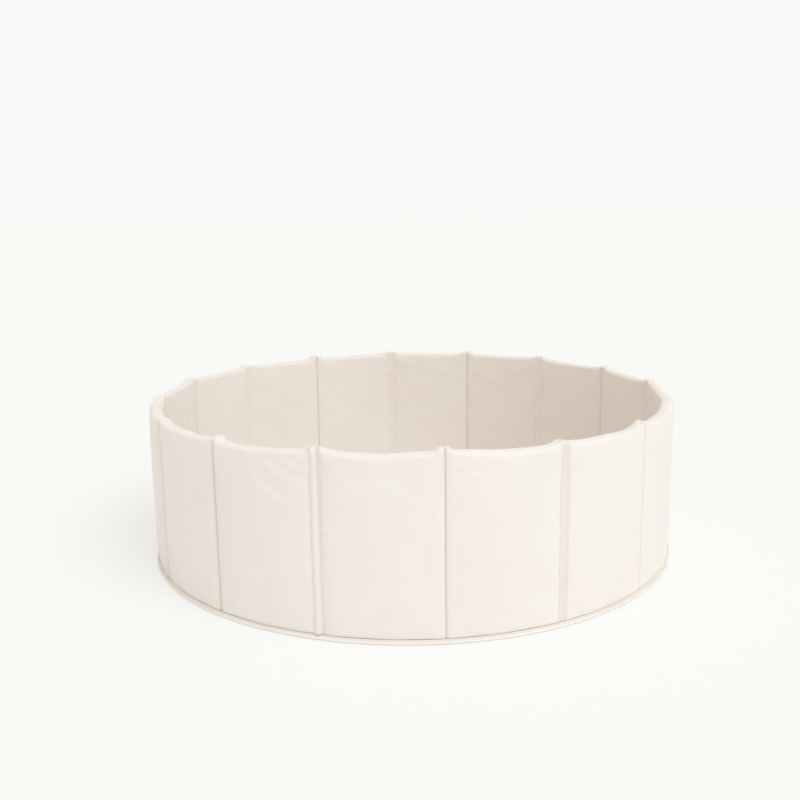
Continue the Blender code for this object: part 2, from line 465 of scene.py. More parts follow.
@dataclass(frozen=True)
class LeatherFinish:
    """Semi-matte leather cloth with a fine pebbled grain and soft creases.

    A piece may carry two masks: hollow, its painted shade in gaps, creases and on inner faces, and rim_drop,
    its depth below the rim.
    """

    name: str
    colour: Colour
    shade: Colour
    roughness: float = 0.50
    grain_size: float = 0.0012
    grain_depth: float = 0.00006
    crease_size: float = 0.030
    crease_depth: float = 0.00035
    drape_scale: float = 0.3
    drape_share: float = 2.5
    pore_scale: float = 2.3
    pore_share: float = 0.5
    pore_span: Span = (0.60, 0.75)
    pore_tone: float = 0.08
    blotch_scale: float = 6.0
    blotch_span: Span = (0.35, 0.75)
    blotch_tone: float = 0.14
    gloss_change: float = 0.10
    # whether the hollow mask's painted shade is read, and how far it darkens towards the shade colour
    hollow: bool = True
    painted_shade_tone: float = 0.8
    rim_line: float = 0.0
    rim_line_span: Span = (0.0028, 0.0003)
    rim_line_tone: float = 0.08
    rim_line_depth: float = 0.00012

    def material(self) -> bpy.types.Material:
        """Builds the finish.

        Returns:
            The material, which reads Object coordinates and the piece's own masks.
        """
        sheet = NodeSheet(self.name)
        place = sheet.place()
        settings, scale = {"feature": "SMOOTH_F1"}, 1 / self.grain_size
        pebbles = sheet.node("ShaderNodeTexVoronoi", settings, {"Vector": place, "Scale": scale})
        pores = sheet.cloud(place, self.pore_scale * scale)
        creases = sheet.cloud(place, 1 / self.crease_size, detail=3.0, distortion=0.6)
        drape = sheet.cloud(place, self.drape_scale / self.crease_size, detail=1.0, distortion=0.3)
        height = (pebbles + pores * self.pore_share) * self.grain_depth + creases * self.crease_depth
        height = height + drape * (self.crease_depth * self.drape_share)
        blotch = sheet.cloud(place, self.blotch_scale, detail=3.0, distortion=0.4)
        pored = pores.ramp(*self.pore_span) * self.pore_tone
        tone = blotch.ramp(*self.blotch_span) * self.blotch_tone + pored
        # painted shade: the hollow mask darkens the colour towards the shade colour where shade would fall
        if self.hollow:
            tone = tone + sheet.mask("hollow") * self.painted_shade_tone
        if self.rim_line:
            line = (sheet.mask("rim_drop") - self.rim_line).size().ramp(*self.rim_line_span)
            tone = tone + line * self.rim_line_tone
            height = height - line * self.rim_line_depth
        gloss = (blotch - 0.5) * self.gloss_change + (pebbles - 0.4) * self.gloss_change
        sheet.drive("Base Color", sheet.mix_colour(tone.at_most(1.0), self.colour, self.shade))
        sheet.drive("Roughness", gloss + self.roughness)
        sheet.constant(Metallic=0.0, IOR=1.47)
        sheet.raise_surface(height)
        return sheet.material


@dataclass(frozen=True)
class FoamFinish:
    """Open-celled foam board with a matte, finely pitted skin."""

    name: str
    colour: Colour
    shade: Colour
    cell_size: float = 0.0011
    cell_span: Span = (0.15, 0.7)
    cell_depth: float = 0.0003
    patch_scale: float = 26.0
    patch_depth: float = 0.0002
    roughness: float = 0.86
    gloss_change: float = 0.1

    def material(self) -> bpy.types.Material:
        """Builds the finish.

        Returns:
            The material, which reads Object coordinates.
        """
        sheet = NodeSheet(self.name)
        place = sheet.place()
        sockets = {"Vector": place, "Scale": 1 / self.cell_size}
        cells = sheet.node("ShaderNodeTexVoronoi", {"feature": "F1"}, sockets)
        patches = sheet.cloud(place, self.patch_scale)
        sheet.drive("Base Color", sheet.mix_colour(cells.ramp(*self.cell_span), self.shade, self.colour))
        sheet.drive("Roughness", patches * self.gloss_change + self.roughness)
        sheet.constant(Metallic=0.0)
        sheet.raise_surface(cells * self.cell_depth + patches * self.patch_depth)
        return sheet.material


@dataclass(frozen=True)
class ThreadFinish:
    """Spun sewing thread, in the leather's own tone."""

    name: str
    colour: Colour
    shade: Colour
    slant: tuple[float, float, float] = (0.0, 0.6, 0.9)
    ply_scale: float = 260.0
    ply_distortion: float = 1.5
    ply_depth: float = 0.00008
    roughness: float = 0.55
    gloss_change: float = 0.15

    def material(self) -> bpy.types.Material:
        """Builds the finish.

        Returns:
            The material, whose plies run aslant to the stitches.
        """
        sheet = NodeSheet(self.name)
        slanted = sheet.node("ShaderNodeMapping", {}, {"Vector": sheet.place(), "Rotation": self.slant})
        sockets = {"Vector": slanted, "Scale": self.ply_scale, "Distortion": self.ply_distortion}
        plies = sheet.node("ShaderNodeTexWave", {"wave_type": "BANDS"}, sockets)
        sheet.drive("Base Color", sheet.mix_colour(plies, self.shade, self.colour))
        sheet.drive("Roughness", plies * self.gloss_change + self.roughness)
        sheet.constant(Metallic=0.0)
        sheet.raise_surface(plies * self.ply_depth)
        return sheet.material


@dataclass(frozen=True)
class StageFinish:
    """Plain pale floor of the studio, which keeps a soft part of the object's shadow for the camera."""

    name: str = "studio_floor"
    colour: Colour = (0.938, 0.950, 0.946)
    shown: Colour = (0.947, 0.947, 0.930)
    kept_shadow: float = 0.50

    def material(self) -> bpy.types.Material:
        """Builds the finish.

        Returns:
            A matte floor, mixed with its own lit colour for the camera.
        """
        sheet = NodeSheet(self.name)
        sheet.constant(Base_Color=(*self.colour, 1.0), Roughness=0.95, Metallic=0.0, Specular_IOR_Level=0.0)
        glow = sheet.node("ShaderNodeEmission", {}, {"Color": (*self.shown, 1.0), "Strength": 1.0})
        seen = sheet.node("ShaderNodeLightPath", {}, {}, out="Is Camera Ray")
        matte = Wire(sheet, sheet.shader.outputs["BSDF"])
        mixed = sheet.node("ShaderNodeMixShader", {}, {0: seen * (1 - self.kept_shadow), 1: matte, 2: glow})
        sheet.tree.links.new(mixed.socket, sheet.tree.nodes["Material Output"].inputs["Surface"])
        return sheet.material


class Finishes:
    """The finishes of this object, each made once."""

    def __init__(self) -> None:
        """Builds every material."""
        # each leather's second colour serves random blotches and pores and, where a piece reads its hollow
        # mask, its painted shade
        ivory, warm = (0.890, 0.848, 0.806), (0.780, 0.700, 0.610)
        strip, strip_shade = (0.885, 0.838, 0.790), (0.730, 0.640, 0.540)
        sheet, bead, bead_shade = (0.845, 0.790, 0.730), (0.895, 0.855, 0.812), (0.700, 0.600, 0.490)
        leathers = (
            LeatherFinish("panel_leather", ivory, warm, rim_line=0.0085),
            LeatherFinish("strip_leather", strip, strip_shade, crease_size=0.016),
            LeatherFinish("floor_sheet_leather", sheet, warm, crease_size=0.045, hollow=False),
            LeatherFinish("bead_leather", bead, bead_shade, crease_size=0.012),
        )
        self.panel, self.strip, self.floor, self.bead = [leather.material() for leather in leathers]
        self.foam = FoamFinish("foam_board", (0.86, 0.86, 0.83), (0.66, 0.66, 0.62)).material()
        self.thread = ThreadFinish("sewing_thread", (0.87, 0.82, 0.75), (0.70, 0.63, 0.54)).material()
        self.stage = StageFinish().material()


@dataclass(frozen=True)
class Ripple:
    """A smooth, repeatable wavy field: a sum of a few seeded waves."""

    seed: int
    size: float
    height: float = 1.0
    count: int = 6
    spread: Span = (0.6, 1.4)

    def __call__(self, *axes: np.ndarray, run: int = 0) -> np.ndarray:
        """Height of the field.

        Args:
            axes: The coordinates that the waves run along.
            run: Number that is added to the seed.

        Returns:
            One height for each point.
        """
        chance = np.random.default_rng(self.seed + run)
        total = np.zeros(np.shape(axes[0]))
        for _ in range(self.count):
            course = chance.normal(size=len(axes))
            course *= 2 * math.pi / self.size * chance.uniform(*self.spread) / np.linalg.norm(course)
            phase = chance.uniform(0, 2 * math.pi)
            total += np.sin(sum(rate * axis for rate, axis in zip(course, axes)) + phase)
        return self.height * (total / math.sqrt(self.count))


def mesh_from(name: str, points: np.ndarray, faces: Iterable[Sequence[int]]) -> bpy.types.Mesh:
    """A mesh of points and faces, with its faces turned outwards.

    Args:
        name: Name of the mesh.
        points: One row for each point.
        faces: Point numbers of each face.

    Returns:
        The mesh, shaded smooth.
    """
    mesh = bpy.data.meshes.new(name)
    mesh.from_pydata(points.tolist(), [], [tuple(face) for face in faces])
    shape = bmesh.new()
    shape.from_mesh(mesh)
    bmesh.ops.recalc_face_normals(shape, faces=shape.faces)
    shape.to_mesh(mesh)
    shape.free()
    mesh.shade_smooth()
    return mesh


def add_object(
    name: str, mesh: bpy.types.Mesh, material: bpy.types.Material | None = None
) -> bpy.types.Object:
    """An object at the origin.

    Args:
        name: Name of the object.
        mesh: Its mesh.
        material: Its finish, or none for a draft or a mesh that has one.

    Returns:
        The object.
    """
    obj = bpy.data.objects.new(name, mesh)
    bpy.context.scene.collection.objects.link(obj)
    if material is not None:
        mesh.materials.clear()
        mesh.materials.append(material)
    return obj


def read_points(mesh: bpy.types.Mesh, key: str = "co") -> np.ndarray:
    """Reads the mesh's points.

    Args:
        mesh: The mesh.
        key: co for the points themselves, normal for their normals.

    Returns:
        One row for each point.
    """
    flat = np.empty(len(mesh.vertices) * 3)
    mesh.vertices.foreach_get(key, flat)
    return flat.reshape(-1, 3)


def write_points(mesh: bpy.types.Mesh, points: np.ndarray) -> None:
    """Moves the mesh's points."""
    mesh.vertices.foreach_set("co", np.ascontiguousarray(points, dtype=np.float32).ravel())
    mesh.update()


def write_mask(mesh: bpy.types.Mesh, name: str, values: np.ndarray) -> None:
    """Gives each point a value that a finish can read."""
    mask = mesh.attributes.get(name) or mesh.attributes.new(name, "FLOAT", "POINT")
    mask.data.foreach_set("value", np.ascontiguousarray(values, dtype=np.float32))


def evaluated_mesh(obj: bpy.types.Object, name: str) -> bpy.types.Mesh:
    """A plain mesh of an object with its modifiers applied.

    Args:
        obj: The object to evaluate.
        name: Name of the new mesh.

    Returns:
        The new mesh.
    """
    depsgraph = bpy.context.evaluated_depsgraph_get()
    mesh = bpy.data.meshes.new_from_object(obj.evaluated_get(depsgraph), depsgraph=depsgraph)
    mesh.name = name
    return mesh


def loop_faces(count: int, rows: int) -> Faces:
    """Faces between rows of closed loops.

    Args:
        count: Points in each loop.
        rows: Number of loops, whose points follow each other.

    Returns:
        The point numbers of each face.
    """
    faces = []
    for row in range(rows - 1):
        low, high = row * count, (row + 1) * count
        for index in range(count):
            after = (index + 1) % count
            faces.append((low + index, low + after, high + after, high + index))
    return faces


class Face(Enum):
    """The two faces of a wall pad."""

    INNER = -1
    OUTER = 1


@dataclass(frozen=True)
class Fold:
    """One soft drag fold in a pad's skin: a bowed ridge between two points, with a hollow beside it."""

    face: Face
    start: tuple[float, float]
    end: tuple[float, float]
    height: float
    width: float
    bow: float = 0.15
    fade_in: Span = (-0.15, 0.25)
    fade_out: Span = (0.5, 1.15)
    hollow_share: float = 0.55
    hollow_place: float = 1.6

    def lift(self, x: np.ndarray, drop: np.ndarray) -> np.ndarray:
        """How far the fold lifts the skin.

        Args:
            x: Place of each point along the pad.
            drop: How far each point lies below the rim.

        Returns:
            One height for each point, in metres.
        """
        start = np.array(self.start)
        span = np.array(self.end) - start
        length = float(np.linalg.norm(span))
        along = ((x - start[0]) * span[0] + (drop - start[1]) * span[1]) / length**2
        across = ((x - start[0]) * -span[1] + (drop - start[1]) * span[0]) / length
        across = across + self.bow * length * along * (1 - along)
        fade = smooth_step(along, *self.fade_in) * (1 - smooth_step(along, *self.fade_out))
        hollow = self.hollow_share * bell(across - self.hollow_place * self.width, self.width)
        return self.height * fade * (bell(across, self.width) - hollow)


SEEN_FOLDS: dict[int, tuple[Fold, ...]] = {
    16: (
        Fold(Face.OUTER, (-0.010, 0.022), (-0.090, 0.062), 0.0010, 0.0075),
        Fold(Face.OUTER, (0.020, 0.045), (-0.075, 0.105), 0.0008, 0.0085),
        Fold(Face.OUTER, (-0.050, 0.018), (-0.094, 0.036), 0.0008, 0.0050),
    ),
    1: (
        Fold(Face.OUTER, (0.020, 0.030), (-0.070, 0.085), 0.0006, 0.0090),
        Fold(Face.OUTER, (0.085, 0.020), (0.010, 0.080), 0.0006, 0.0080),
    ),
    2: (
        Fold(Face.OUTER, (0.090, 0.016), (0.035, 0.050), 0.0007, 0.0060),
        Fold(Face.OUTER, (-0.092, 0.020), (-0.040, 0.060), 0.0006, 0.0070),
    ),
    3: (
        Fold(Face.OUTER, (-0.070, 0.014), (-0.060, 0.060), 0.0009, 0.0050),
        Fold(Face.OUTER, (-0.050, 0.014), (-0.035, 0.050), 0.0009, 0.0045),
        Fold(Face.OUTER, (-0.088, 0.014), (-0.080, 0.075), 0.0008, 0.0050),
        Fold(Face.OUTER, (0.085, 0.018), (0.030, 0.045), 0.0008, 0.0060),
    ),
    5: (
        Fold(Face.INNER, (0.070, 0.014), (0.020, 0.080), 0.0010, 0.0070),
        Fold(Face.INNER, (0.040, 0.014), (-0.020, 0.070), 0.0009, 0.0070),
    ),
}


CLOTH: dict[str, float] = {
    "quality": 5,
    "mass": 0.25,
    "use_pressure": True,
    "uniform_pressure_force": 4.0,
    "tension_stiffness": 25,
    "compression_stiffness": 25,
    "shear_stiffness": 12,
    "bending_stiffness": 0.6,
}


@dataclass
class WallPads:
    """The sixteen padded panels, each a pocket of leather cloth blown up softly over its foam.

    The side of a pad is fuller on the face where its seam lies open, so that two pads close the seam.
    """

    plan: RingPlan = PLAN
    rim: Rim = RIM
    foot_round: float = 0.0018
    open_width: float = 0.0054
    open_depth: float = 0.0020
    open_bend: float = 1.5
    side_fullness: float = 0.00293
    corner_spare: float = 0.0003
    crown: float = 0.0028
    dome: float = 0.0008
    dome_end: float = 0.001
    narrowing: float = 0.14
    board_inset: float = 0.0016
    board_crown: float = 0.0025
    board_spare: float = 0.0005
    board_drop: Span = (0.006, 0.011)
    board_foot: Span = (0.009, 0.012)
    board_side: Span = (0.006, 0.009)
    # how the cloth swells
    cap: float = 0.0012
    nudge: float = 0.0004
    nudge_waves: Ripple = Ripple(40, 0.075)
    nudge_across: float = 4.0
    nudge_side: Span = (0.002, 0.014)
    held_side: float = 0.004
    held_foot: float = 0.006
    cloth_growth: float = 0.006
    least_growth: float = 0.7
    growth_step: float = 0.2
    cloth_frames: int = 20
    variants: int = 4
    # steps of the mesh
    face_steps: int = 38
    corner_steps: int = 3
    side_steps: int = 3
    foot_steps: int = 2
    roll_steps: int = 4
    dome_steps: int = 3
    height_step: float = 0.005
    # drag folds, beside those that are seen
    fold_seed: int = 700
    fold_counts: tuple[int, int] = (1, 4)
    fold_inset: Span = (0.004, 0.03)
    fold_drop: Span = (0.014, 0.05)
    fold_length: Span = (0.05, 0.11)
    fold_tilt: Span = (0.25, 0.95)
    fold_height: Span = (0.00035, 0.0007)
    fold_width: Span = (0.005, 0.009)
    # waves of the skin, puckers under the rim and tugs along the sides
    long_waves: Ripple = Ripple(90, 0.085, 0.00040)
    short_waves: Ripple = Ripple(130, 0.045, 0.00018)
    long_lean: float = 0.3
    short_along: float = 0.6
    short_across: float = 5.0
    wave_side: Span = (0.004, 0.016)
    wave_foot: Span = (0.018, 0.05)
    rim_puckers: Ripple = Ripple(170, 0.018, 0.00030)
    pucker_across: float = 9.0
    pucker_drop: float = 0.007
    pucker_width: float = 0.006
    pucker_side: Span = (0.002, 0.01)
    rim_reach: float = 0.03
    side_tugs: Ripple = Ripple(210, 0.024, 0.00025)
    tug_across: float = 3.0
    tug_place: float = 0.009
    tug_width: float = 0.006
    tug_foot: Span = (0.02, 0.05)
    rise_span: Span = (0.20, 0.31)
    # painted shade, by share and place: beside the seams, along the foot and over the inner face
    painted_groove_shade: float = 0.30
    painted_groove_shades: dict[int, float] = field(default_factory=lambda: {15: 1.10, 13: 0.70})
    groove_span: Span = (-0.003, 0.004)
    foot_painted_shades: tuple[Span, ...] = ((0.24, 0.005), (0.40, 0.0022))
    inner_painted_shade: float = 0.20
    inner_span: Span = (0.003, 0.010)
    inner_rim_painted_shade: float = 0.22
    inner_rim_side: Span = (-0.003, 0.005)
    inner_rim_drop: Span = (0.004, 0.010)
    pieces: list[bpy.types.Object] = field(default_factory=list)

    @property
    def side_points(self) -> int:
        """Points of a loop from the inner face to the outer one, round one side."""
        return 2 * (self.corner_steps + 1) + self.side_steps - 1

    @property
    def loop_count(self) -> int:
        """Points in one loop round a pad."""
        return 2 * (self.side_points + self.face_steps - 1)

    def swelling(self, height: float) -> float:
        """Share of the crown at a height, least at the foot and the rim."""
        rise = np.clip((height - self.plan.pad_foot) / (self.plan.rim_middle - self.plan.pad_foot), 0, 1)
        return 1 - (2 * rise - 1) ** 4

    def section(self, inset: float, side_inset: float, swelling: float) -> np.ndarray:
        """Outline of a pad from above, with even steps along its faces.

        Args:
            inset: How far the two faces are moved inwards.
            side_inset: How far the two sides are moved inwards.
            swelling: Share of the crown that its faces have.

        Returns:
            One row of x and y for each point, from the inner corner on +x round to the start.
        """
        plan = self.plan
        half, share = plan.pad_half - inset, (plan.pad_half - inset) / plan.pad_half
        full_reach, reach = plan.pad_reach + self.side_fullness - side_inset, plan.pad_reach - side_inset
        width, depth, rounding = self.open_width * share, self.open_depth * share, plan.edge_round * share
        points = []
        for side in (1, -1):
            for step in np.linspace(0, 1, self.corner_steps + 1):
                x = full_reach - width * (1 - step) + (self.corner_spare if step == 1 else 0.0)
                points.append((side * x, -side * (half - depth * step**self.open_bend)))
            for level in np.linspace(0, 1, self.side_steps + 1)[1:-1]:
                x = full_reach + (reach - full_reach) * max(2 * level - 1, 0)
                points.append((side * x, side * (level * (half - rounding) - (1 - level) * (half - depth))))
            for step in range(self.corner_steps + 1):
                angle = math.pi / 2 * step / self.corner_steps
                x = reach - rounding * (1 - math.cos(angle))
                points.append((side * x, side * (half - rounding + rounding * math.sin(angle))))
            start, end = reach - rounding, -(full_reach - width)
            for along in np.arange(1, self.face_steps) / self.face_steps:
                x = start + (end - start) * along
                swell = self.crown * share * swelling * (1 - min(abs(x) / plan.pad_reach, 1) ** 2)
                points.append((side * x, side * (half + swell)))
        return np.array(points)

    def start_mesh(self) -> bpy.types.Mesh:
        """The pocket before it swells: even rows of loops from its foot over its rolled rim.

        Returns:
            A closed mesh in the pad's own axes.
        """
        plan = self.plan
        low, roll = plan.pad_foot + self.foot_round, plan.rim_round
        rows = []
        for step in range(self.foot_steps):
            angle = math.pi / 2 * step / self.foot_steps
            outline = self.section(self.foot_round * (1 - math.sin(angle)), 0.0, 0.0)
            rows.append((outline, np.full(len(outline), low - self.foot_round * math.cos(angle))))
        levels = round((plan.rim_middle - roll - low) / self.height_step)
        for level in range(levels + 1):
            middle = low + level / levels * (plan.rim_middle - roll - low)
            outline = self.section(0.0, 0.0, self.swelling(middle))
            rows.append((outline, low + level / levels * (self.rim.height(outline[:, 0]) - roll - low)))
        for step in range(1, self.roll_steps + 1):
            angle = math.pi / 2 * step / self.roll_steps
            drawn = roll * (1 - math.cos(angle))
            outline = self.section(drawn, self.narrowing * drawn, 0.0)
            rows.append((outline, self.rim.height(outline[:, 0]) - roll * (1 - math.sin(angle))))
        for step in range(1, self.dome_steps + 1):
            share = step / self.dome_steps
            drawn = roll + (plan.pad_half - roll - self.dome_end) * share
            outline = self.section(drawn, self.narrowing * drawn, 0.0)
            rows.append((outline, self.rim.height(outline[:, 0]) + self.dome * (1 - (1 - share) ** 2)))
        points = np.vstack([np.column_stack((outline, height)) for outline, height in rows])
        faces = loop_faces(self.loop_count, len(rows))
        for base in (0, (len(rows) - 1) * self.loop_count):
            faces.extend(self._cap(base))
        return mesh_from("pad_start", points, faces)

    def _cap(self, base: int) -> Faces:
        """Closes a loop with a strip of faces that runs across it from one side to the other.

        Args:
            base: Number of the loop's first point.

        Returns:
            The point numbers of each face.
        """
        count, outer = self.loop_count, self.side_points // 2
        faces = []
        for step in range(count // 2):
            places = (outer - 1 - step, outer + step, outer + step + 1, outer - 2 - step)
            corners = list(dict.fromkeys(base + place % count for place in places))
            if len(corners) > 2:
                faces.append(tuple(corners))
        return faces

    def swell(self, start: bpy.types.Mesh, variant: int) -> np.ndarray:
        """Blows up the pocket as cloth, held at its upright edges and its foot.

        Args:
            start: The pocket before it swells.
            variant: Number of the run, which sets the seed and the slack.

        Returns:
            The swollen points, none further from the start than the cap.
        """
        rest, plan = read_points(start), self.plan
        edge = plan.pad_reach - np.abs(rest[:, 0])
        waves = self.nudge_waves(rest[:, 0], rest[:, 2], rest[:, 1] * self.nudge_across, run=variant)
        waves *= smooth_step(edge, *self.nudge_side)
        nudged = rest + read_points(start, "normal") * (self.nudge * waves)[:, None]
        mesh = start.copy()
        write_points(mesh, nudged)
        pad = add_object(f"pad_cloth_{variant}", mesh)
        pins = pad.vertex_groups.new(name="held")
        beside, low = plan.pad_reach - self.held_side, plan.pad_foot + self.held_foot
        held = (np.abs(rest[:, 0]) > beside) | (rest[:, 2] < low)
        pins.add(np.flatnonzero(held).tolist(), 1.0, "REPLACE")
        cloth = pad.modifiers.new("cloth", "CLOTH")
        for key, value in CLOTH.items():
            setattr(cloth.settings, key, value)
        cloth.settings.shrink_min = -self.cloth_growth * (self.least_growth + self.growth_step * variant)
        cloth.settings.vertex_group_mass = pins.name
        cloth.settings.effector_weights.gravity = 0.0
        cloth.point_cache.frame_start, cloth.point_cache.frame_end = 1, self.cloth_frames
        for frame in range(1, self.cloth_frames + 1):
            bpy.context.scene.frame_set(frame)
        moved = evaluated_mesh(pad, "pad_swollen")
        points = read_points(moved)
        bpy.context.scene.frame_set(1)
        bpy.data.objects.remove(pad)
        bpy.data.meshes.remove(moved)
        bpy.data.meshes.remove(mesh)
        return self._limited(rest, points)

    def _limited(self, rest: np.ndarray, moved: np.ndarray) -> np.ndarray:
        """Softly keeps each point within the cap of its start.

        Args:
            rest: The points before they moved.
            moved: The points after.

        Returns:
            The points, none further from their start than the cap.
        """
        shift = moved - rest
        length = np.maximum(np.linalg.norm(shift, axis=1), 1e-9)
        return rest + shift * (self.cap * np.tanh(length / self.cap) / length)[:, None]

    def folds(self, panel: int) -> list[Fold]:
        """Drag folds that run down from a pad's upper corners.

        Args:
            panel: Number of the panel.

        Returns:
            A few folds for each face, the same on every run.
        """
        chance = np.random.default_rng(self.fold_seed + panel)
        made = list(SEEN_FOLDS.get(panel, ()))
        seen_faces = {fold.face for fold in made}
        for face in Face:
            for side in (-1, 1):
                for _ in range(int(chance.integers(*self.fold_counts))):
                    reach = self.plan.pad_reach - chance.uniform(*self.fold_inset)
                    start = (side * reach, chance.uniform(*self.fold_drop))
                    length, tilt = chance.uniform(*self.fold_length), chance.uniform(*self.fold_tilt)
                    end = (start[0] - side * length * math.cos(tilt), start[1] + length * math.sin(tilt))
                    height, width = chance.uniform(*self.fold_height), chance.uniform(*self.fold_width)
                    if face not in seen_faces:
                        made.append(Fold(face, start, end, height, width))
        return made

    def detail(self, panel: int, mesh: bpy.types.Mesh) -> None:
        """Adds folds, rim puckers and waves to a swollen pad, and its masks for the finish.

        The sides stay short of the seam's plane, so that two neighbouring pads don't overlap.

        Args:
            panel: Number of the panel, which sets what is added.
            mesh: The pad's mesh in its own axes.
        """
        plan = self.plan
        points, normals = read_points(mesh), read_points(mesh, "normal")
        x, y, z = points.T
        drop = self.rim.height(x) - z
        edge = plan.pad_reach - np.abs(x)
        lift = np.zeros(len(points))
        for fold in self.folds(panel):
            lift += fold.lift(x, drop) * (np.sign(y) == fold.face.value)
        lift += self.long_waves(x, z + self.long_lean * y, run=panel)
        lift += self.short_waves(x * self.short_along, z, y * self.short_across, run=panel)
        lift *= smooth_step(edge, *self.wave_side) * smooth_step(z, *self.wave_foot)
        gather = self.rim_puckers(x, self.pucker_across * y * (drop < self.rim_reach), run=panel)
        gather = gather * bell(drop - self.pucker_drop, self.pucker_width)
        lift += gather * smooth_step(edge, *self.pucker_side)
        tug = self.side_tugs(z, self.tug_across * np.sign(x) * np.sign(y), run=panel)
        lift += tug * bell(edge - self.tug_place, self.tug_width) * smooth_step(z, *self.tug_foot)
        points = points + normals * lift[:, None]
        points = self._over_board(points, drop)
        rise = self.rim.height(x, panel) - self.rim.height(x)
        points[:, 2] += rise * smooth_step(z, *self.rise_span)
        fullest = plan.pad_reach + self.side_fullness
        points[:, 0] = np.clip(points[:, 0], -fullest, fullest)
        write_points(mesh, points)
        # painted shade on the sides beside each seam's gap
        depth = np.where(x > 0, self.groove_shade(plan.number(panel - 1)), self.groove_shade(panel))
        hollow = (1 - smooth_step(edge, *self.groove_span)) * depth
        # painted shadow along the pad's foot, where it meets the bead
        for share, reach in self.foot_painted_shades:
            hollow += share * (1 - smooth_step(z, plan.pad_foot, plan.pad_foot + reach))
        # painted shade over the inner face, and more on the inner side under the rim
        hollow += self.inner_painted_shade * smooth_step(-y, *self.inner_span)
        inner_rim = self.inner_rim_painted_shade * smooth_step(-y, *self.inner_rim_side)
        hollow += inner_rim * (1 - smooth_step(drop, *self.inner_rim_drop))
        write_mask(mesh, "hollow", np.clip(hollow, 0, 1))
        write_mask(mesh, "rim_drop", drop)

    def groove_shade(self, seam: int) -> float:
        """Share of painted shade beside the gap at a seam."""
        return self.painted_groove_shades.get(seam, self.painted_groove_shade)

    def _over_board(self, points: np.ndarray, drop: np.ndarray) -> np.ndarray:
        """Keeps a pad's two faces softly clear of the foam board inside.

        Args:
            points: The pad's points in its own axes.
            drop: How far each point lies below the rim.

        Returns:
            The points, with each face outside the board.
        """
        x, y, z = points.T
        along = 1 - np.clip(np.abs(x) / self.plan.pad_reach, 0, 1) ** 2
        board = self.plan.pad_half - self.board_inset + self.board_crown * along * self.swelling(z)
        board = board + self.board_spare
        soft = soft_most(np.abs(y), board)
        share = smooth_step(drop, *self.board_drop) * smooth_step(z, *self.board_foot)
        share *= smooth_step(self.plan.pad_reach - np.abs(x), *self.board_side)
        moved = points.copy()
        moved[:, 1] = y + np.sign(y) * np.maximum(soft - np.abs(y), 0) * share
        return moved

    def build(self, finishes: Finishes) -> None:
        """Makes the sixteen pads, each on its own body.

        Args:
            finishes: The object's materials.
        """
        start = self.start_mesh()
        shapes = [self.swell(start, variant) for variant in range(self.variants)]
        for panel in range(1, self.plan.panel_count + 1):
            name = f"panel_cover_{panel:02d}"
            points = shapes[(panel - 1) // 2 % self.variants].copy()
            if panel % 2 == 0:
                points[:, 0] *= -1
            cage = start.copy()
            write_points(cage, points)
            if panel % 2 == 0:
                cage.flip_normals()
            draft = add_object("pad_draft", cage)
            finer = draft.modifiers.new("finer", "SUBSURF")
            finer.levels = finer.render_levels = 1
            mesh = evaluated_mesh(draft, name)
            bpy.data.objects.remove(draft)
            bpy.data.meshes.remove(cage)
            self.detail(panel, mesh)
            placed = self.plan.to_world(read_points(mesh), self.plan.panel_angle(panel), self.plan.mid_radius)
            write_points(mesh, placed)
            mesh.flip_normals()
            pad = add_object(name, mesh, finishes.panel)
            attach(pad, self.plan.body(panel))
            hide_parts(f"cover_{panel:02d}")
            self.pieces.append(pad)
            LOG.info("pad %s: %d points", pad.name, len(mesh.vertices))
        bpy.data.meshes.remove(start)


class StripForm(Enum):
    """How the cloth of a hinge strip lies between two pads."""

    CHANNEL = "channel"
    RIDGE = "ridge"
    SOFT = "soft"


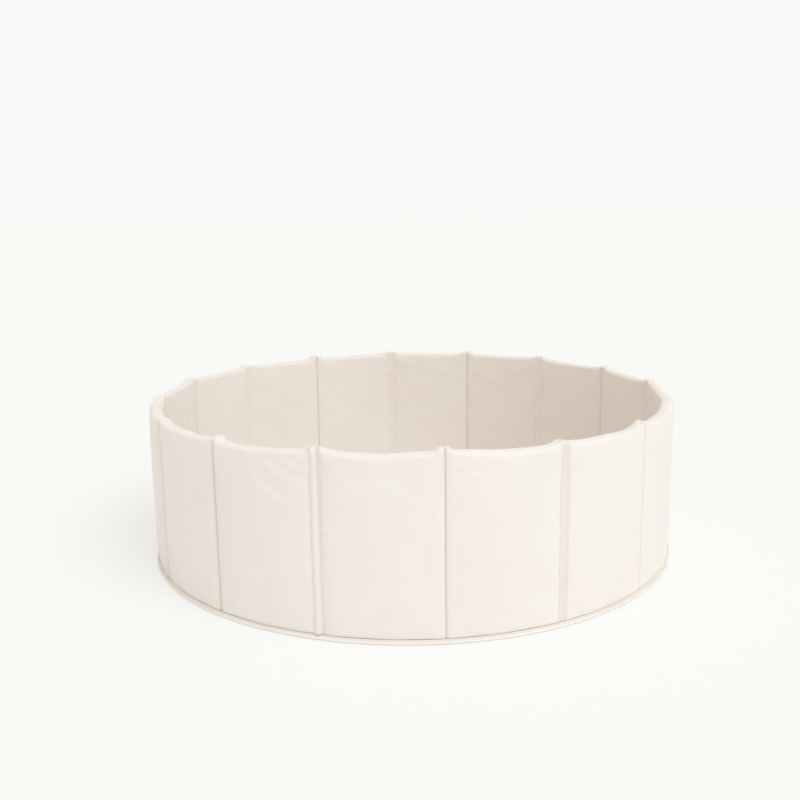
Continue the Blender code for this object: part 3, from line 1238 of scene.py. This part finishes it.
@dataclass
class HingeStrips:
    """The doubled cloth strips between the panels, by turns on the outer and the inner face.

    Each rolls over the wall's top and lies over the lobes of the two pads as far as the wall's middle.
    """

    plan: RingPlan = PLAN
    rim: Rim = RIM
    thickness: float = 0.0014
    reach: float = 0.0084
    across_steps: int = 26
    height_step: float = 0.004
    roll_steps: int = 5
    top_steps: int = 4
    wider: dict[int, float] = field(default_factory=lambda: {16: 0.0120, 2: 0.0098, 14: 0.0095})
    forms: dict[int, StripForm] = field(
        default_factory=lambda: {16: StripForm.RIDGE, 14: StripForm.RIDGE, 2: StripForm.CHANNEL}
    )
    # where the edges lie on the pads
    skin_crown: float = 0.0024
    edge_sink: float = 0.0003
    edge_start: float = 0.80
    ridge_edge_start: float = 0.55
    # a ridge with a trough beside it
    ridge_half: float = 0.0120
    ridge_wander: Ripple = Ripple(300, 0.16, 0.0005)
    ridge_place: float = 0.0030
    ridge_height: float = 0.0025
    ridge_slopes: Span = (0.0080, 0.0030)
    trough_place: float = 0.0052
    trough_depth: float = 0.0015
    trough_width: float = 0.0048
    # a sewn channel
    channel_top: Span = (0.002, 0.016)
    channel_depth: float = 0.0016
    channel_side: Span = (0.0040, 0.0078)
    channel_lip: float = 0.0003
    channel_lip_place: float = 0.0080
    channel_lip_width: float = 0.0012
    channel_waves: Ripple = Ripple(330, 0.05)
    channel_wave: float = 0.0002
    # slack cloth
    soft_depth: float = 0.0011
    soft_waves: Ripple = Ripple(350, 0.04)
    soft_wave: float = 0.00028
    soft_lip: float = 0.0002
    soft_lip_place: float = 0.8
    soft_lip_width: float = 0.0010
    # over the top of the wall
    over_lobes: float = 0.0009
    top_edge_start: float = 0.72
    top_peak: float = 0.0010
    top_peak_width: float = 0.0035
    shoulder_drop: float = 0.0006
    past_middle: float = 0.001
    top_fall: float = 0.0016
    # share of a strip's half width where its two ends lie, and the least side of a sheet
    blend_share: float = 0.75
    least_width: float = 0.0101
    # painted shade, by share, place and width
    edge_shade: float = 0.08
    edge_shade_span: Span = (0.75, 1.0)
    ridge_shade: tuple[float, float, float] = (0.50, 0.42, 0.38)
    channel_shade: float = 0.40
    channel_shade_side: Span = (0.0055, 0.0075)
    soft_shade: float = 0.10
    pieces: dict[int, list[bpy.types.Object]] = field(default_factory=dict)

    def half_width(self, seam: int) -> float:
        """Distance from the middle of a strip to its edge."""
        return self.wider.get(seam, self.reach)

    def form(self, seam: int) -> StripForm:
        """How the strip of a seam lies."""
        return self.forms.get(seam, StripForm.SOFT)

    def skin(self, x: np.ndarray) -> np.ndarray:
        """How far the pads' skin lies out of the face plane beside a seam.

        Args:
            x: Place across the strip.

        Returns:
            One height for each point, less than 0 in the rounding.
        """
        plan = self.plan
        beyond = plan.seam_gap / 2 + plan.edge_round - np.abs(x)
        rounded = np.sqrt(plan.edge_round**2 - np.clip(beyond, 0, plan.edge_round) ** 2) - plan.edge_round
        along = np.minimum((plan.seam_pitch / 2 - np.abs(x)) / plan.pad_reach, 1)
        return rounded + self.skin_crown * (1 - along**2)

    def _ridge(self, seam: int, x: np.ndarray, z: np.ndarray) -> np.ndarray:
        """Surface of a strip that lies as a ridge beside a trough.

        Args:
            seam: Number of the seam.
            x: Place across the strip.
            z: Height above the ground.

        Returns:
            One height for each point.
        """
        share = self.half_width(seam) / self.ridge_half
        off = x - self.ridge_place * share - self.ridge_wander(z, run=seam)
        line = self.ridge_height * share * bell(off, np.where(off > 0, *self.ridge_slopes) * share)
        trough = bell(x + self.trough_place * share, self.trough_width * share)
        return line - self.trough_depth * share * trough

    def _channel(self, seam: int, x: np.ndarray, z: np.ndarray) -> np.ndarray:
        """Surface of a strip that is sewn down as a channel between two lips.

        Args:
            seam: Number of the seam.
            x: Place across the strip.
            z: Height above the ground.

        Returns:
            One height for each point.
        """
        below = smooth_step(self.plan.rim_middle - z, *self.channel_top)
        line = -self.channel_depth * below * (1 - smooth_step(np.abs(x), *self.channel_side))
        line = line + self.channel_lip * bell(np.abs(x) - self.channel_lip_place, self.channel_lip_width)
        return line + self.channel_wave * self._sunk(seam, x) * self.channel_waves(x, z, run=seam)

    def _soft(self, seam: int, x: np.ndarray, z: np.ndarray) -> np.ndarray:
        """Surface of a strip that lies slack between two pads.

        Args:
            seam: Number of the seam.
            x: Place across the strip.
            z: Height above the ground.

        Returns:
            One height for each point.
        """
        sunk = self._sunk(seam, x)
        line = -self.soft_depth * sunk + self.soft_wave * sunk * self.soft_waves(x, z, run=seam)
        lip = bell(np.abs(x) - self.soft_lip_place * self.half_width(seam), self.soft_lip_width)
        return line + self.soft_lip * lip

    def _sunk(self, seam: int, x: np.ndarray) -> np.ndarray:
        """Share of a strip's full depth, 1 in its middle and 0 at its edges."""
        return 1 - np.clip(np.abs(x) / self.half_width(seam), 0, 1) ** 4

    def crown_line(self, seam: int, x: np.ndarray, z: np.ndarray) -> np.ndarray:
        """How far the strip's surface stands out of the face.

        Args:
            seam: Number of the seam.
            x: Place across the strip.
            z: Height above the ground.

        Returns:
            One height for each point, less than 0 where it is sunk between the pads.
        """
        half, form = self.half_width(seam), self.form(seam)
        surfaces = {
            StripForm.RIDGE: self._ridge,
            StripForm.CHANNEL: self._channel,
            StripForm.SOFT: self._soft,
        }
        start = self.ridge_edge_start if form is StripForm.RIDGE else self.edge_start
        edge = smooth_step(np.abs(x), start * half, half)
        return surfaces[form](seam, x, z) * (1 - edge) + (self.skin(x) - self.edge_sink) * edge

    def top_line(self, seam: int, x: np.ndarray) -> np.ndarray:
        """Height of the strip's highest points, over the lobes of the two pads.

        Args:
            seam: Number of the seam.
            x: Place across the strip.

        Returns:
            One height for each point.
        """
        after, half = self.plan.number(seam + 1), self.half_width(seam)
        away = self.plan.seam_pitch / 2 - np.abs(x)
        height = np.where(x > 0, self.rim.height(-away, seam), self.rim.height(away, after))
        edge = smooth_step(np.abs(x), self.top_edge_start * half, half)
        peak = self.top_peak * bell(x, self.top_peak_width)
        return height + self.over_lobes - self.over_lobes * edge + peak

    def strip_mesh(
        self, seam: int, name: str, low_share: float = -1.0, high_share: float = 1.0
    ) -> bpy.types.Mesh:
        """The strip of one seam, or a part of its width.

        Args:
            seam: Number of the seam.
            name: Name of the mesh.
            low_share: Share of its half width at which it starts.
            high_share: Share of its half width at which it ends.

        Returns:
            A closed mesh in the frame's own axes.
        """
        plan, side, half = self.plan, self.plan.web_side(seam), self.half_width(seam)
        x = np.linspace(low_share, high_share, self.across_steps + 1) * half
        top = self.top_line(seam, x)
        shoulder = top - plan.rim_round - self.shoulder_drop
        steps = round((plan.rim_middle - plan.rim_round - plan.pad_foot) / self.height_step)
        fronts = []
        for level in np.linspace(0, 1, steps + 1):
            z = plan.pad_foot + level * (shoulder - plan.pad_foot)
            fronts.append((self.crown_line(seam, x, z), z, 0.0))
        for step in range(1, self.roll_steps + 1):
            angle = math.pi / 2 * step / self.roll_steps
            face = self.crown_line(seam, x, shoulder) * math.cos(angle)
            z = shoulder + (top - shoulder) * math.sin(angle)
            fronts.append((face - plan.rim_round * (1 - math.cos(angle)), z, angle))
        for step in range(1, self.top_steps + 1):
            share = step / self.top_steps
            depth = plan.rim_round + (plan.pad_half + self.past_middle - plan.rim_round) * share
            fronts.append((np.full_like(x, -depth), top - self.top_fall * share**2, math.pi / 2))
        rows = []
        for face, z, angle in fronts:
            back = face - self.thickness * math.cos(angle), z - self.thickness * math.sin(angle)
            loop = np.vstack((np.column_stack((x, face, z)), np.column_stack((x, *back))[::-1]))
            rows.append(loop)
        local = np.vstack(rows)
        count = 2 * len(x)
        faces = loop_faces(count, len(rows))
        for base in (0, (len(rows) - 1) * count):
            for index in range(len(x) - 1):
                places = (index, index + 1, count - 2 - index, count - 1 - index)
                faces.append(tuple(base + place for place in places))
        local[:, 1] *= side
        mesh = mesh_from(name, plan.to_world(local, plan.seam_angle(seam), plan.hinge_radius(seam)), faces)
        # painted shade across the strip: in the trough beside a ridge, in a sunk channel, along the edges and
        # in a slack middle
        write_mask(mesh, "hollow", self.shade(seam, local[:, 0]))
        return mesh

    def shade(self, seam: int, x: np.ndarray) -> np.ndarray:
        """Share of painted shade across a strip, most in its hollows.

        Args:
            seam: Number of the seam.
            x: Place across the strip.

        Returns:
            One share for each point.
        """
        across = x / self.half_width(seam)
        edge = self.edge_shade * smooth_step(np.abs(x) / self.half_width(seam), *self.edge_shade_span)
        if self.form(seam) is StripForm.RIDGE:
            share, place, width = self.ridge_shade
            return edge * (x < 0) + share * bell(across + place, width)
        if self.form(seam) is StripForm.CHANNEL:
            return edge + self.channel_shade * (1 - smooth_step(np.abs(x), *self.channel_shade_side))
        return edge + self.soft_shade * bell(across, 0.5)

    def build(self, finishes: Finishes) -> None:
        """Makes the strips. The open seam's strip is in two halves, each on the body of its own panel.

        Args:
            finishes: The object's materials.
        """
        plan = self.plan
        for seam in range(1, plan.panel_count + 1):
            name = f"hinge_strip_{seam:02d}"
            if seam == plan.open_seam:
                for tag, low, high, panel in (("a", 0.0, 1.0, seam), ("b", -1.0, 0.0, seam + 1)):
                    mesh = self.strip_mesh(seam, name + tag, low, high)
                    strip = add_object(name + tag, mesh, finishes.strip)
                    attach(strip, plan.body(panel))
                    self._declare(strip, seam, self.reach)
                continue
            strip = add_object(name, self.strip_mesh(seam, name), finishes.strip)
            shares = np.array([[self.blend_share, 0.0, 0.0], [-self.blend_share, 0.0, 0.0]])
            ends = shares * self.half_width(seam)
            start, end = plan.to_world(ends, plan.seam_angle(seam), plan.hinge_radius(seam)).tolist()
            plan.body(seam)
            plan.body(seam + 1)
            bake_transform(strip)
            self._declare(strip, seam, 2 * self.half_width(seam))

    def _declare(self, strip: bpy.types.Object, seam: int, width: float) -> None:
        """Hides the web that a strip replaces, keeps the strip and logs its points.

        Args:
            strip: The finished strip.
            seam: Number of its seam.
            width: Its width; not used.
        """
        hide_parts(f"hinge_web_{seam:02d}")
        neighbours = [f"panel_cover_{panel:02d}" for panel in (seam, self.plan.number(seam + 1))]
        max(width, self.least_width)
        self.pieces.setdefault(seam, []).append(strip)
        LOG.info("strip %s: %d points", strip.name, len(strip.data.vertices))


def crumple(piece: bpy.types.Object, panel: int, plan: RingPlan, keep: float) -> None:
    """Makes a piece of the floor ride on a panel, with a mesh of its own.

    Args:
        piece: The finished piece.
        panel: Number of the panel that it goes with.
        plan: Layout of the ring.
        keep: Share of its depth that is left when the ring is folded; not used.
    """
    turn, radius = plan.panel_angle(panel), plan.mid_radius * (1 + math.cos(plan.half_turn)) / 2
    outwards = Vector((math.sin(turn), -math.cos(turn), 0.0))
    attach(piece, plan.body(panel))
    tuple(radius * outwards)
    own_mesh(piece)


@dataclass
class PaddedFloor:
    """The thin padded floor, cut into one gore for each panel, each riding on its panel's body."""

    plan: RingPlan = PLAN
    bead_width: float = 0.0042
    bead_height: float = 0.0052
    bead_gap: float = 0.0002
    lip_width: float = 0.0075
    radial_steps: int = 48
    across_steps: int = 16
    last_row: float = 0.004
    edge_rows: float = 0.003
    puff: float = 0.0012
    puff_span: Span = (0.40, 0.51)
    even_puff: float = 0.8
    wave_share: float = 0.6
    wide_waves: Ripple = Ripple(501, 0.13, 0.5)
    small_waves: Ripple = Ripple(502, 0.05, 0.35)
    pull_wander: Ripple = Ripple(503, 0.3, 1.5)
    pull_height: float = 0.35
    pull_span: Span = (0.25, 0.45)
    sharp_from: float = 40.0
    folded_share: float = 0.012
    pieces: list[bpy.types.Object] = field(default_factory=list)

    def height(self, x: np.ndarray, y: np.ndarray) -> np.ndarray:
        """Height of the top sheet, which swells and wrinkles inside the wall.

        Args:
            x: Place of each point.
            y: Place of each point.

        Returns:
            One height for each point.
        """
        radius = np.hypot(x, y)
        inside = 1 - smooth_step(radius, *self.puff_span)
        waves = self.wide_waves(x, y) + self.small_waves(x, y)
        turn = np.arctan2(y, x) * self.plan.panel_count + self.pull_wander(x, y)
        pulls = self.pull_height * np.sin(turn) * smooth_step(radius, *self.pull_span)
        outer = self.plan.floor_radius
        lowered = smooth_step(radius, outer - self.lip_width, outer - self.bead_width)
        top = self.plan.floor_top - (self.plan.floor_top - self.bead_height) * lowered
        return top + self.puff * inside * (self.even_puff + self.wave_share * waves + pulls)

    def gore_mesh(self, panel: int, name: str) -> bpy.types.Mesh:
        """One gore: its top sheet, foam and base sheet as one padded wedge.

        Args:
            panel: Number of its panel.
            name: Name of the mesh.

        Returns:
            A closed mesh in the frame's own axes.
        """
        plan = self.plan
        angles = plan.panel_angle(panel) + np.linspace(-plan.half_turn, plan.half_turn, self.across_steps + 1)
        edge = plan.floor_radius - self.bead_width - self.bead_gap
        inner = np.linspace(0, edge - self.last_row, self.radial_steps - 2)[1:]
        radius = np.append(inner, np.linspace(edge - self.edge_rows, edge, 3))[:, None]
        x, y = (radius * np.sin(angles)).ravel(), (-radius * np.cos(angles)).ravel()
        x, y = np.append(x, 0.0), np.append(y, 0.0)
        tops = np.column_stack((x, y, self.height(x, y)))
        bases = np.column_stack((x, y, np.zeros_like(x)))
        width, rows, half = self.across_steps + 1, self.radial_steps, len(x)
        faces: Faces = []
        for base in (0, half):
            for column in range(width - 1):
                faces.append((base + half - 1, base + column, base + column + 1))
                for row in range(rows - 1):
                    near = base + row * width + column
                    faces.append((near, near + width, near + width + 1, near + 1))
        rim = (rows - 1) * width
        for near in range(rim, rim + width - 1):
            faces.append((near, near + 1, half + near + 1, half + near))
        for column in (0, width - 1):
            line = [half - 1, *range(column, half - 1, width)]
            faces.extend((near, far, half + far, half + near) for near, far in zip(line, line[1:]))
        mesh = mesh_from(name, np.vstack((tops, bases)), faces)
        mesh.set_sharp_from_angle(angle=math.radians(self.sharp_from))
        return mesh

    def build(self, finishes: Finishes) -> None:
        """Makes the gores, each riding on its own panel.

        Args:
            finishes: The object's materials.
        """
        for panel in range(1, self.plan.panel_count + 1):
            name = f"floor_gore_{panel:02d}"
            gore = add_object(name, self.gore_mesh(panel, name), finishes.floor)
            crumple(gore, panel, self.plan, self.folded_share)
            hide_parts("floor_base_sheet", "floor_foam", "floor_top_sheet")
            self.pieces.append(gore)
        LOG.info("floor: %d gores", len(self.pieces))


@dataclass
class FootBead:
    """The rounded bead that binds the floor's edge, in one length for each panel."""

    floor: PaddedFloor
    plan: RingPlan = PLAN
    round_steps: int = 10
    along_steps: int = 72
    waves: Ripple = Ripple(600, 0.012)
    gathers: float = 0.00030
    gathered_panels: tuple[int, ...] = (3, 4)
    gathered_share: float = 3.2
    lift_share: float = 0.3
    low_span: Span = (0.6, 1.0)
    low_shade: float = 0.4
    crease_shade: float = 0.3
    sharp_from: float = 60.0
    pieces: list[bpy.types.Object] = field(default_factory=list)

    def bead_mesh(self, panel: int, name: str) -> bpy.types.Mesh:
        """One length of the bead, flat below and against the sheets, and rounded outwards.

        Args:
            panel: Number of its panel.
            name: Name of the mesh.

        Returns:
            A closed mesh in the frame's own axes.
        """
        plan, width = self.plan, self.floor.bead_width
        turns = np.linspace(-plan.half_turn, plan.half_turn, self.along_steps + 1)
        along = (plan.panel_angle(panel) + turns) * plan.floor_radius
        fade = np.sqrt(np.maximum(np.cos(turns / plan.half_turn * math.pi / 2), 0))
        depth = self.gathers * (self.gathered_share if panel in self.gathered_panels else 1.0)
        pucker = depth * self.waves(along, run=panel) * fade
        rows = []
        for turn, fold in zip(turns, pucker):
            angle = math.pi / 2 * np.linspace(-1, 1, self.round_steps + 1)
            swell = np.cos(angle)
            radius = plan.floor_radius - width * (1 - swell) + fold * swell
            lifted = 1 + self.lift_share * fold / width * swell
            height = self.floor.bead_height / 2 * (1 + np.sin(angle)) * lifted
            direction = plan.panel_angle(panel) + turn
            x, y = radius * math.sin(direction), -radius * math.cos(direction)
            rows.append(np.column_stack((x, y, height)))
        count = self.round_steps + 1
        faces = loop_faces(count, len(rows))
        faces.append(tuple(range(count)))
        faces.append(tuple(range((len(rows) - 1) * count, len(rows) * count)))
        mesh = mesh_from(name, np.vstack(rows), faces)
        mesh.set_sharp_from_angle(angle=math.radians(self.sharp_from))
        # painted shade along the bead's inner top and bottom edges, where it meets the floor's edge and the
        # ground, and in its puckers
        low = np.tile(np.abs(np.linspace(-1, 1, count)), len(rows))
        crease = np.repeat(np.clip(-pucker / (2 * self.gathers), 0, 1), count)
        shade = smooth_step(low, *self.low_span) * self.low_shade + self.crease_shade * crease
        write_mask(mesh, "hollow", np.clip(shade, 0, 1))
        return mesh

    def build(self, finishes: Finishes) -> None:
        """Makes the lengths of bead, each riding on its own panel.

        Args:
            finishes: The object's materials.
        """
        for panel in range(1, self.plan.panel_count + 1):
            name = f"foot_bead_{panel:02d}"
            bead = add_object(name, self.bead_mesh(panel, name), finishes.bead)
            crumple(bead, panel, self.plan, self.floor.folded_share)
            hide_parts("floor_piping")
            self.pieces.append(bead)
        LOG.info("foot bead: %d lengths", len(self.pieces))


@dataclass
class Stitching:
    """Rows of stitches along the edges of the hinge strips, laid by Geometry Nodes."""

    plan: RingPlan = PLAN
    pitch: float = 0.0042
    length: float = 0.0030
    thread: float = 0.00028
    length_change: Span = (0.9, 1.1)
    row_inset: float = 0.0018
    row_foot: float = 0.006
    row_step: float = 0.006
    row_lift: float = 0.3
    segments: int = 6
    rings: int = 5
    seed: int = 11
    pieces: list[bpy.types.Object] = field(default_factory=list)

    def tree(self) -> bpy.types.NodeTree:
        """The node tree that sets a stitch at even steps along the rows.

        Returns:
            A tree with named inputs for the pitch, the length, the thread and the finish.
        """
        tree = bpy.data.node_groups.new("stitch_rows", "GeometryNodeTree")
        face = tree.interface
        face.new_socket("Rows", in_out="INPUT", socket_type="NodeSocketGeometry")
        for name in ("Pitch", "Length", "Thread"):
            face.new_socket(name, in_out="INPUT", socket_type="NodeSocketFloat")
        face.new_socket("Finish", in_out="INPUT", socket_type="NodeSocketMaterial")
        face.new_socket("Stitches", in_out="OUTPUT", socket_type="NodeSocketGeometry")

        def add(kind: str, values: dict[str | int, Any] | None = None, **settings: Any) -> bpy.types.Node:
            """Adds a node.

            Args:
                kind: The node's type.
                values: Values for its input sockets, by name or number.
                settings: Its own settings, set before its sockets.

            Returns:
                The node.
            """
            node = tree.nodes.new(kind)
            for key, value in settings.items():
                setattr(node, key, value)
            for key, value in (values or {}).items():
                node.inputs[key].default_value = value
            return node

        least, most = self.length_change
        start, end = add("NodeGroupInput"), add("NodeGroupOutput")
        curve = add("GeometryNodeMeshToCurve")
        spaced = add("GeometryNodeCurveToPoints", mode="LENGTH")
        round_steps = {"Segments": self.segments, "Rings": self.rings, "Radius": 1.0}
        ball = add("GeometryNodeMeshUVSphere", round_steps)
        half = add("ShaderNodeMath", {1: 0.5}, operation="MULTIPLY")
        sizes = add("ShaderNodeCombineXYZ")
        shaped = add("GeometryNodeTransform")
        jitter = add("FunctionNodeRandomValue", {"Seed": self.seed, 2: least, 3: most}, data_type="FLOAT")
        laid = add("GeometryNodeInstanceOnPoints")
        smooth = add("GeometryNodeSetShadeSmooth")
        real = add("GeometryNodeRealizeInstances")
        finish = add("GeometryNodeSetMaterial")
        for first, out, second, into in (
            (start, "Rows", curve, "Mesh"),
            (curve, "Curve", spaced, "Curve"),
            (start, "Pitch", spaced, "Length"),
            (start, "Length", half, 0),
            (start, "Thread", sizes, "X"),
            (start, "Thread", sizes, "Y"),
            (half, 0, sizes, "Z"),
            (ball, "Mesh", shaped, "Geometry"),
            (sizes, 0, shaped, "Scale"),
            (spaced, "Points", laid, "Points"),
            (shaped, "Geometry", laid, "Instance"),
            (spaced, "Rotation", laid, "Rotation"),
            (jitter, 1, laid, "Scale"),
            (laid, "Instances", smooth, "Geometry"),
            (smooth, "Geometry", real, "Geometry"),
            (real, "Geometry", finish, "Geometry"),
            (start, "Finish", finish, "Material"),
            (finish, "Geometry", end, "Stitches"),
        ):
            tree.links.new(first.outputs[out], second.inputs[into])
        return tree

    def rows(self, panel: int, strips: HingeStrips) -> tuple[np.ndarray, list[tuple[int, int]]]:
        """The lines that a panel's stitches follow, on its edge of each hinge strip.

        Args:
            panel: Number of the panel.
            strips: The hinge strips.

        Returns:
            Points in the frame's own axes, and the edges between them.
        """
        plan, lines, edges = self.plan, [], []
        heights = np.arange(plan.pad_foot + self.row_foot, plan.rim_middle - plan.rim_round, self.row_step)
        for seam, way in ((plan.number(panel - 1), -1), (panel, 1)):
            x = np.full_like(heights, way * (strips.half_width(seam) - self.row_inset))
            sunk = strips.crown_line(seam, x, heights) + self.row_lift * self.thread
            local = np.column_stack((x, plan.web_side(seam) * sunk, heights))
            first = len(lines) * len(heights)
            lines.append(plan.to_world(local, plan.seam_angle(seam), plan.hinge_radius(seam)))
            edges.extend((index, index + 1) for index in range(first, first + len(heights) - 1))
        return np.vstack(lines), edges

    def build(self, strips: HingeStrips, finishes: Finishes) -> None:
        """Makes one piece of stitches for each panel.

        Args:
            strips: The hinge strips, which the stitches lie on.
            finishes: The object's materials.
        """
        tree = self.tree()
        keys = {item.name: item.identifier for item in tree.interface.items_tree if item.in_out == "INPUT"}
        for panel in range(1, self.plan.panel_count + 1):
            points, edges = self.rows(panel, strips)
            draft = bpy.data.meshes.new("stitch_lines")
            draft.from_pydata(points.tolist(), edges, [])
            line = add_object("stitch_draft", draft)
            rows = line.modifiers.new("stitches", "NODES")
            rows.node_group = tree
            sizes = {"Pitch": self.pitch, "Length": self.length, "Thread": self.thread}
            for key, value in {**sizes, "Finish": finishes.thread}.items():
                rows[keys[key]] = value
            mesh = evaluated_mesh(line, f"stitching_{panel:02d}")
            line.modifiers.clear()
            bpy.data.objects.remove(line)
            piece = add_object(f"stitching_{panel:02d}", mesh)
            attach(piece, self.plan.body(panel))
            self.pieces.append(piece)
        LOG.info("stitching: %d pieces", len(self.pieces))


@dataclass
class FoamBoards:
    """The foam boards inside the pads, which keep their solids and get a foam finish."""

    plan: RingPlan = PLAN

    def build(self, nodes: dict[str, bpy.types.Object], finishes: Finishes) -> None:
        """Gives each foam board its finish.

        Args:
            nodes: The frame's nodes by name.
            finishes: The object's materials.
        """
        for panel in range(1, self.plan.panel_count + 1):
            for slot in nodes[f"foam_core_{panel:02d}"].material_slots:
                slot.material = finishes.foam
        LOG.info("foam boards: %d", self.plan.panel_count)


@dataclass
class Studio:
    """Pale floor, soft light and the camera at the photograph's angle."""

    camera_place: tuple[float, float, float] = (-0.2002, -2.0143, 0.7205)
    heading: float = -5.01
    down: float = 11.58
    roll: float = 0.88
    lens: float = 42.66
    sensor: float = 36.0
    backdrop: Colour = (0.947, 0.947, 0.930)
    sky: Colour = (1.0, 0.952, 0.888)
    sky_level: float = 0.748
    sun: Colour = (0.95, 1.015, 1.11)
    sun_level: float = 1.115
    sun_spread: float = 40.0
    sun_heading: float = 36.0
    sun_height: float = 52.0
    floor_half: float = 60.0
    floor_drop: float = 0.0002
    clip: Span = (0.05, 200.0)

    def build(self, finishes: Finishes) -> None:
        """Sets the floor, the world, the lamp, the camera and the view.

        Args:
            finishes: The object's materials.
        """
        self._floor(finishes)
        self._world()
        self._sun()
        self._camera()
        bpy.context.scene.view_settings.view_transform = "Standard"
        LOG.info("studio: floor, world, sun and camera")

    def _floor(self, finishes: Finishes) -> None:
        """Lays a wide pale floor just under the object.

        Args:
            finishes: The object's materials.
        """
        half = self.floor_half
        corners = np.array([(-half, -half), (half, -half), (half, half), (-half, half)])
        points = np.column_stack((corners, np.full(len(corners), -self.floor_drop)))
        mesh = mesh_from("studio_floor", points, [(0, 1, 2, 3)])
        add_object("studio_floor", mesh, finishes.stage)

    def _world(self) -> None:
        """An even pale sky, which shows as the backdrop's colour where it is seen directly."""
        world = bpy.data.worlds.new("studio_world")
        bpy.context.scene.world = world
        world.use_nodes = True
        nodes, links = world.node_tree.nodes, world.node_tree.links
        nodes.clear()
        path = nodes.new("ShaderNodeLightPath")
        seen = path.outputs["Is Camera Ray"]
        for name in ("Is Glossy Ray", "Is Transmission Ray"):
            either = nodes.new("ShaderNodeMath")
            either.operation = "MAXIMUM"
            links.new(seen, either.inputs[0])
            links.new(path.outputs[name], either.inputs[1])
            seen = either.outputs[0]
        light, shown = nodes.new("ShaderNodeBackground"), nodes.new("ShaderNodeBackground")
        light.inputs["Color"].default_value = (*self.sky, 1)
        light.inputs["Strength"].default_value = self.sky_level
        shown.inputs["Color"].default_value = (*self.backdrop, 1)
        shown.inputs["Strength"].default_value = 1.0
        mix, out = nodes.new("ShaderNodeMixShader"), nodes.new("ShaderNodeOutputWorld")
        links.new(seen, mix.inputs["Fac"])
        links.new(light.outputs[0], mix.inputs[1])
        links.new(shown.outputs[0], mix.inputs[2])
        links.new(mix.outputs[0], out.inputs["Surface"])

    def _sun(self) -> None:
        """A broad soft lamp from the front right."""
        lamp = bpy.data.lights.new("soft_sun", "SUN")
        lamp.energy = self.sun_level
        lamp.angle = math.radians(self.sun_spread)
        lamp.color = self.sun
        sun = bpy.data.objects.new("soft_sun", lamp)
        bpy.context.scene.collection.objects.link(sun)
        sun.rotation_euler = Euler((math.radians(90 - self.sun_height), 0.0, math.radians(self.sun_heading)))

    def _camera(self) -> None:
        """The camera, which stands and looks as the photograph's did."""
        data = bpy.data.cameras.new("view")
        data.sensor_width = self.sensor
        data.lens = self.lens
        data.clip_start, data.clip_end = self.clip
        camera = bpy.data.objects.new("view", data)
        bpy.context.scene.collection.objects.link(camera)
        camera.location = self.camera_place
        turn = Euler((math.radians(90 - self.down), 0.0, math.radians(self.heading))).to_matrix()
        camera.rotation_euler = (turn @ Euler((0.0, 0.0, math.radians(-self.roll))).to_matrix()).to_euler()
        bpy.context.scene.camera = camera


def main() -> None:
    """Builds every class in order."""
    logging.basicConfig(level=logging.INFO, format="%(message)s")
    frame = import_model()
    finishes = Finishes()
    Studio().build(finishes)
    FoamBoards().build(frame["nodes"], finishes)
    floor = PaddedFloor()
    floor.build(finishes)
    FootBead(floor).build(finishes)
    WallPads().build(finishes)
    strips = HingeStrips()
    strips.build(finishes)
    Stitching().build(strips, finishes)


if __name__ == "__main__":
    main()
